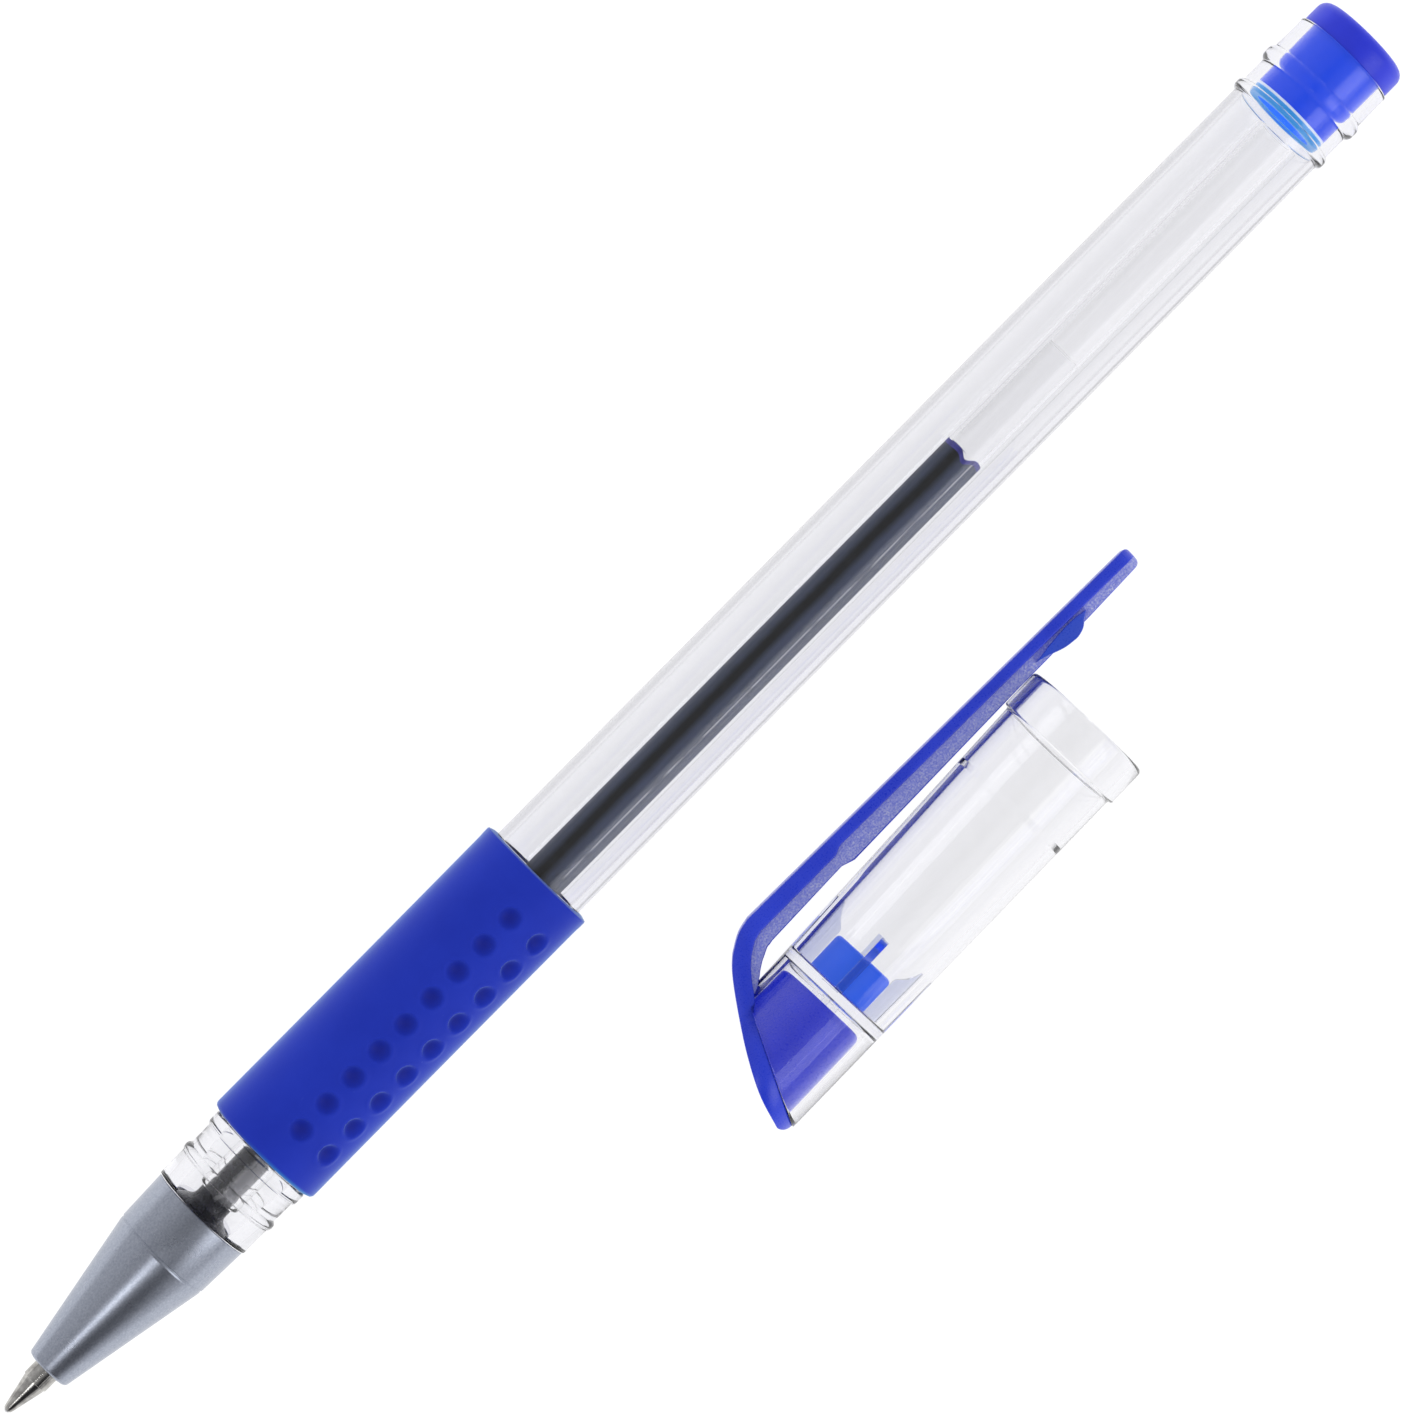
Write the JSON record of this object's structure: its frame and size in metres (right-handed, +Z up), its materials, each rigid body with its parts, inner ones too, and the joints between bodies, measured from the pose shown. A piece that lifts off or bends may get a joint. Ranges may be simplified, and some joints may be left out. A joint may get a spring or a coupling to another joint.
{
  "type": "gel pen",
  "caption": "Capped gel pen with a clear barrel, rubber grip, silver nose cone, replaceable gel refill and a clear clip cap lying pulled off beside it.",
  "frame": {"origin": "centre of the bottom of the whole object's box, on the surface that the pen and its cap lie on", "axes": "+X along the pen from the nib to the rear end, +Z up from the surface, the cap on the -Y side of the pen with its mouth facing +X"},
  "size_m": [0.1386, 0.0306, 0.0105],
  "materials": {
    "clear_plastic": "clear, polished",
    "grip_rubber": "matte blue rubber",
    "blue_plastic": "semi-gloss blue",
    "silver_plastic": "satin silver paint over plastic",
    "refill_plastic": "clear, waxy",
    "connector_plastic": "smoky, filled with ink",
    "tip_metal": "turned nickel silver",
    "ball_metal": "polished carbide",
    "ink": "dark blue gel",
    "follower": "clear grease",
    "seal_plastic": "soft blue plastic"
  },
  "bodies": {
    "pen_body": {"barrel": "clear_plastic", "grip_sleeve": "grip_rubber"},
    "refill": {"refill_tube": "refill_plastic", "tip_connector": "connector_plastic", "metal_tip": "tip_metal", "ink_column": "ink", "ink_follower": "follower"},
    "ball": {"writing_ball": "ball_metal"},
    "nose_cone": {"nose_cone": "silver_plastic"},
    "end_plug": {"end_plug": "blue_plastic"},
    "cap": {"cap_shell": "clear_plastic", "nib_seal": "seal_plastic", "clip_base": "blue_plastic"},
    "clip": {"clip_arm": "blue_plastic"}
  },
  "joints": [
    {"name": "refill_slide", "type": "slide", "parent": "pen_body", "child": "refill", "axis": [-1, 0, 0], "range_m": [0, 0.118]},
    {"name": "nose_cone_pull", "type": "slide", "parent": "refill", "child": "nose_cone", "axis": [-1, 0, 0], "range_m": [0, 0.022]},
    {"name": "ball_roll", "type": "hinge", "parent": "refill", "child": "ball", "pos_m": [-0.06905, 0.01049, 0.00486], "axis": [0, 1, 0], "continuous": true},
    {"name": "end_plug_pull", "type": "slide", "parent": "pen_body", "child": "end_plug", "axis": [1, 0, 0], "range_m": [0, 0.008]},
    {"name": "cap_slide", "type": "slide", "parent": "pen_body", "child": "cap", "axis": [-1, 0, 0], "range_m": [0, 0.09]},
    {"name": "clip_flex", "type": "hinge", "parent": "cap", "child": "clip", "pos_m": [-0.01176, -0.00547, 0.00523], "axis": [0, 0, 1], "range_deg": [0, 4], "stiffness_Nm_per_rad": 1}
  ]
}
